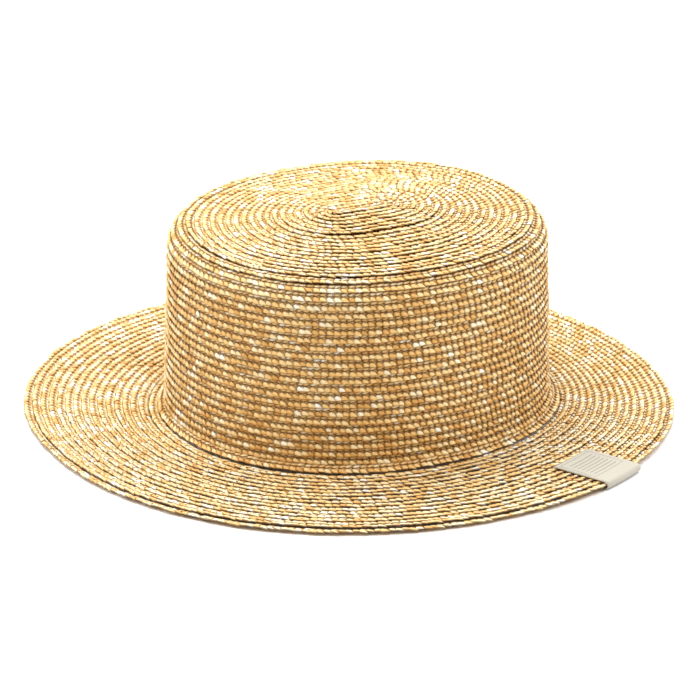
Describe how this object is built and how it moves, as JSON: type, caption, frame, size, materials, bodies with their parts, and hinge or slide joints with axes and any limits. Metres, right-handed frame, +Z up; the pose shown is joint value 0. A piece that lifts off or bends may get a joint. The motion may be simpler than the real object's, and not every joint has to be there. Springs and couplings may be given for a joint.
{
  "type": "boater hat",
  "caption": "Stiff straw boater hat of spirally sewn braid, with an oval crown, a nearly flat tip, a flat round brim and a cloth label folded round the rim.",
  "frame": {"origin": "middle of the brim, on the surface that the hat rests on", "axes": "+Z up through the crown, +X along the head from back to front, +Y to the wearer's left"},
  "size_m": [0.3242, 0.3224, 0.1049],
  "materials": {
    "straw": "natural golden wheat straw, plaited and sewn, satin stalks",
    "label_cloth": "matt cream woven tape"
  },
  "bodies": {
    "root": {"tip": "straw", "tip_edge": "straw", "side": "straw", "corner_braid": "straw", "brim": "straw", "edge_braid": "straw", "label": "label_cloth"}
  },
  "joints": []
}
